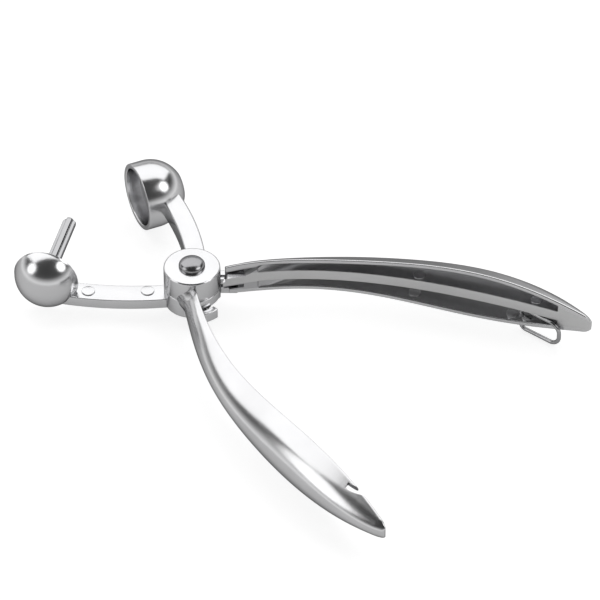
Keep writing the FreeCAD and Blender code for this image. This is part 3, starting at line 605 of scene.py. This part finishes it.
handle = handle_mesh("cup_handle", CUP_BOW, CUP_NECK_START)
arm = block_mesh("cup_arm", arm_outline(*CUP_ARM), CUP_ARM_FLOOR, CUP_ARM_TOP, CUP_ARM_EDGE)
lug = block_mesh("lug", lug_outline, LUG_FLOOR, BOSS_HALF, LUG_EDGE)
casting("cup_lever_casting", CUP_PLACE, "cup_lever", "cup_lever", [
    carve(handle, cup_room, *catches),
    boss_mesh("cup_boss", CUP_TOP, CUP_BORE, None),
    carve(arm, cup_room, cup_hollow),
    turned(cup_profile, "cup", CUP_CENTRE, CUP_HEADING, FINE_TURNS, inner=CUP_INSIDE),
    carve(lug, free_leg_groove),
])

# ---- Rivet and washer --------------------------------------------------------------------
# Steel rivet through both bosses: a domed head on top, and a washer and a flatter head below,
# where it was closed. It is pressed into the cup lever and the punch lever turns on it.

SHANK, HEAD_RADIUS, HEAD_RIM, HEAD_DOME = 3.0, 4.4, 0.4, 2.3
TAIL_RADIUS, TAIL_DOME, TAIL_TOP = 4.2, 1.3, -8.45
WASHER_RADIUS, WASHER_FLAT = 6.6, 6.4
WASHER_TOP, WASHER_HIGH_EDGE, WASHER_LOW_EDGE = -7.65, -7.85, -8.25
HEAD_TURN, HEAD_STEPS = 7.5, 13

dark_steel = metal("dark_steel", (0.4, 0.4, 0.41), roughness=0.22, patch_scale=150,
                   patch_spread=0.04, ripple_scale=400, ripple_height=0.00001)
head_foot = BOSS_HALF + HEAD_RIM
head_turns = [math.radians(HEAD_TURN * step) for step in range(HEAD_STEPS)]
head = [
    (HEAD_RADIUS * math.cos(turn), head_foot + HEAD_DOME * math.sin(turn)) for turn in head_turns
]
tail = [
    (TAIL_RADIUS * math.sin(turn), TAIL_TOP - TAIL_DOME * math.cos(turn)) for turn in head_turns
]
shank = [(SHANK, TAIL_TOP), (SHANK, BOSS_HALF)]
rivet_profile = [*tail, *shank, (HEAD_RADIUS, BOSS_HALF), *head]
washer_profile = [
    (SHANK, WASHER_TOP), (SHANK, TAIL_TOP), (WASHER_FLAT, TAIL_TOP),
    (WASHER_RADIUS, WASHER_LOW_EDGE), (WASHER_RADIUS, WASHER_HIGH_EDGE), (WASHER_FLAT, WASHER_TOP),
]
upright = Matrix.Translation(PIVOT) @ TO_METRES
casting("rivet", upright, "cup_lever", "pivot_rivet",
        [turned(rivet_profile, "rivet")], [dark_steel])
casting("rivet_washer_disc", upright, "cup_lever", "rivet_washer",
        [turned(washer_profile, "washer")], [bright_steel])

# ---- Torsion spring ----------------------------------------------------------------------
# Spring wire coiled round the rivet in the chamber. One leg lies in the punch lever's groove
# and the other in the cup lever's lug, and between them they push the handles open.

WIRE_RADIUS, WIRE_ROUNDNESS, COIL_RADIUS = 0.6, 6, 4.0
COIL_LOW, COIL_HIGH, COIL_STEPS = -6.3, -3.15, 180
FREE_TURN, FREE_LEG = FREE_LEG_TURN - OPENING, 10.9
FIXED_TURN, FIXED_LEG = OPENING + FIXED_LEG_TURN, 17.2
FULL_COILS = 720
coil_sweep = (FREE_TURN - FIXED_TURN - 180) % 360 + FULL_COILS


def wire(name, path, radius, closed=False):
    """Round wire along a row of points in millimetres, as a mesh."""
    line = bpy.data.curves.new(name, "CURVE")
    line.dimensions = "3D"
    line.bevel_depth, line.bevel_resolution, line.use_fill_caps = radius, WIRE_ROUNDNESS, True
    spline = line.splines.new("POLY")
    spline.points.add(len(path) - 1)
    spline.points.foreach_set("co", [value for point in path for value in (*point, 1.0)])
    spline.use_cyclic_u = closed
    drawn = put(name, line)
    finished = drawn.evaluated_get(bpy.context.evaluated_depsgraph_get())
    mesh = bpy.data.meshes.new_from_object(finished)
    bpy.data.objects.remove(drawn)
    return mesh


def on_coil(share):
    """Point of the coil at a share of its length, from the free leg up."""
    turn = math.radians(FREE_TURN - 90 - coil_sweep * share)
    height = COIL_LOW + (COIL_HIGH - COIL_LOW) * share
    return Vector((COIL_RADIUS * math.cos(turn), COIL_RADIUS * math.sin(turn), height))


def leg_way(turn):
    """Level direction that a leg runs in, from its heading in degrees."""
    return Vector((math.cos(math.radians(turn)), math.sin(math.radians(turn)), 0))


coil = [on_coil(step / COIL_STEPS) for step in range(COIL_STEPS + 1)]
coil.append(on_coil(1) + leg_way(FIXED_TURN) * FIXED_LEG)
free_leg = [on_coil(0) + leg_way(FREE_TURN) * reach for reach in (0, FREE_LEG)]
casting("spring_coil", upright, "punch_lever", "torsion_spring",
        [wire("coil", coil, WIRE_RADIUS)], [bright_steel])
casting("spring_free_leg", upright, "cup_lever", None,
        [wire("free_leg", free_leg, WIRE_RADIUS)], [bright_steel])

# ---- Locking bail ------------------------------------------------------------------------
# Loop of bright wire that swings in a hole through the punch handle's lower wall. With the
# handles closed it swings over into the notches of the other handle and holds them shut.

BAIL_WIRE, BAIL_STOW = 0.7, -28.3
BAIL_CORNERS = [(0, -3.1), (0, -11.6), (15.4, -11.6), (15.4, -3.1)]
BAIL_RADII, BAIL_CORNER_STEPS = (2.0, 2.0, 3.6, 3.6), 12


def rounded(corners, radii, steps):
    """Closed outline with each corner rounded by an arc of its radius."""
    outline = []
    for index, (corner, radius) in enumerate(zip(corners, radii)):
        here = Vector(corner)
        back = (Vector(corners[index - 1]) - here).normalized()
        on = (Vector(corners[(index + 1) % len(corners)]) - here).normalized()
        half_angle = back.angle(on) / 2
        centre = here + (back + on).normalized() * radius / math.sin(half_angle)
        start = here + back * radius / math.tan(half_angle) - centre
        end = here + on * radius / math.tan(half_angle) - centre
        for step in range(steps + 1):
            spoke = start.lerp(end, step / steps).normalized() * radius
            outline.append(tuple(centre + spoke))
    return outline


loop = rounded(BAIL_CORNERS, BAIL_RADII, BAIL_CORNER_STEPS)
stow = Matrix.Rotation(math.radians(BAIL_STOW), 4, "Z")
bail_turn = Matrix.Translation((*BAIL_PLACE, 0)) @ stow
bail_path = [bail_turn @ Vector((x, 0, z)) for x, z in loop]
casting("wire_bail", PUNCH_PLACE, "locking_bail", "locking_bail",
        [wire("bail", bail_path, BAIL_WIRE, closed=True)], [bright_steel])

# ---- Table, light and camera -------------------------------------------------------------
# The tool lies on a pale table between a wide white screen behind it and two soft boxes. The
# room is light along the horizon and dim above, and the table and the room are white to the
# camera.

TABLE_HALF, TABLE_COLOUR, TABLE_ROUGHNESS = 3, (0.42, 0.42, 0.42, 1), 0.8
TABLE_SEEN, TABLE_MIRRORED = 0.8, 0.27
BAND_LOW, BAND_HIGH, HORIZON_LEVEL, CEILING_LEVEL = 0.08, 0.4, 0.9, 0.05
WHITE = (1, 1, 1, 1)

corners = ((-1, -1), (1, -1), (1, 1), (-1, 1))
table_corners = [(x * TABLE_HALF, y * TABLE_HALF, 0) for x, y in corners]
floor_mesh = bpy.data.meshes.new("table")
floor_mesh.from_pydata(table_corners, [], [(0, 1, 2, 3)])
table = put("table", floor_mesh)
table_top = bpy.data.materials.new("table_top")
table_top.use_nodes = True
nodes, links = table_top.node_tree.nodes, table_top.node_tree.links
paint = nodes["Principled BSDF"]
paint.inputs["Base Color"].default_value = TABLE_COLOUR
paint.inputs["Roughness"].default_value = TABLE_ROUGHNESS
paint.inputs["Specular IOR Level"].default_value = 0.0
paint.inputs["Emission Color"].default_value = WHITE
seen = nodes.new("ShaderNodeLightPath")
direct = nodes.new("ShaderNodeMath")
direct.operation = "MULTIPLY"
direct.inputs[1].default_value = TABLE_SEEN
links.new(seen.outputs["Is Camera Ray"], direct.inputs[0])
glow = nodes.new("ShaderNodeMath")
glow.operation = "MULTIPLY_ADD"
glow.inputs[1].default_value = TABLE_MIRRORED
links.new(seen.outputs["Is Glossy Ray"], glow.inputs[0])
links.new(direct.outputs["Value"], glow.inputs[2])
links.new(glow.outputs["Value"], paint.inputs["Emission Strength"])
table.data.materials.append(table_top)

sky = bpy.data.worlds.new("studio")
bpy.context.scene.world = sky
sky.use_nodes = True
nodes, links = sky.node_tree.nodes, sky.node_tree.links
air = nodes["Background"]
air.inputs["Color"].default_value = WHITE
seen = nodes.new("ShaderNodeLightPath")
direction = nodes.new("ShaderNodeTexCoord")
split = nodes.new("ShaderNodeSeparateXYZ")
links.new(direction.outputs["Generated"], split.inputs["Vector"])
band = nodes.new("ShaderNodeMapRange")
band.inputs["From Min"].default_value, band.inputs["From Max"].default_value = BAND_LOW, BAND_HIGH
band.inputs["To Min"].default_value = HORIZON_LEVEL
band.inputs["To Max"].default_value = CEILING_LEVEL
links.new(split.outputs["Z"], band.inputs["Value"])
level = nodes.new("ShaderNodeMath")
level.operation = "MAXIMUM"
links.new(seen.outputs["Is Camera Ray"], level.inputs[0])
links.new(band.outputs["Result"], level.inputs[1])
links.new(level.outputs["Value"], air.inputs["Strength"])


def softbox(name, heading, height, distance, wide, tall, brightness):
    """Soft light aimed at the pivot from a compass heading and a height in degrees."""
    lamp = bpy.data.lights.new(name, "AREA")
    lamp.shape = "ELLIPSE" if wide == tall else "RECTANGLE"
    lamp.size, lamp.size_y = wide, tall
    lamp.energy = brightness * math.pi * wide * tall
    holder = put(name, lamp)
    turn, lift = math.radians(heading), math.radians(height)
    level_way = (math.cos(turn) * math.cos(lift), math.sin(turn) * math.cos(lift))
    out = Vector((*level_way, math.sin(lift)))
    holder.location = PIVOT + out * distance
    holder.rotation_mode = "QUATERNION"
    holder.rotation_quaternion = (-out).to_track_quat("-Z", "Y")
    holder.visible_camera = False


softbox("back_screen", heading=133.5, height=54, distance=1.5, wide=3.2, tall=1.9,
        brightness=1.25)
softbox("left_box", heading=230.8, height=32, distance=1.2, wide=0.7, tall=0.7, brightness=1.1)
softbox("right_box", heading=19.2, height=43, distance=1.2, wide=0.7, tall=0.7, brightness=1.5)

DISTANCE, AZIMUTH, ELEVATION = 1.4709, math.radians(35.5), math.radians(41.84)
AIM_OFFSET, LENS, SENSOR, CLIP = Vector((0.036, 0, -0.0076)), 263.3, 36.0, (0.05, 20)
target = PIVOT + Matrix.Rotation(AZIMUTH, 3, "Z") @ AIM_OFFSET
away = Vector((
    math.sin(AZIMUTH) * math.cos(ELEVATION),
    -math.cos(AZIMUTH) * math.cos(ELEVATION),
    math.sin(ELEVATION),
))
camera = put("camera", bpy.data.cameras.new("camera"))
camera.data.lens, camera.data.sensor_width = LENS, SENSOR
camera.data.clip_start, camera.data.clip_end = CLIP
camera.location = target + away * DISTANCE
camera.rotation_mode = "QUATERNION"
camera.rotation_quaternion = (-away).to_track_quat("-Z", "Y")
bpy.context.scene.camera = camera
bpy.context.scene.view_settings.view_transform = "Standard"
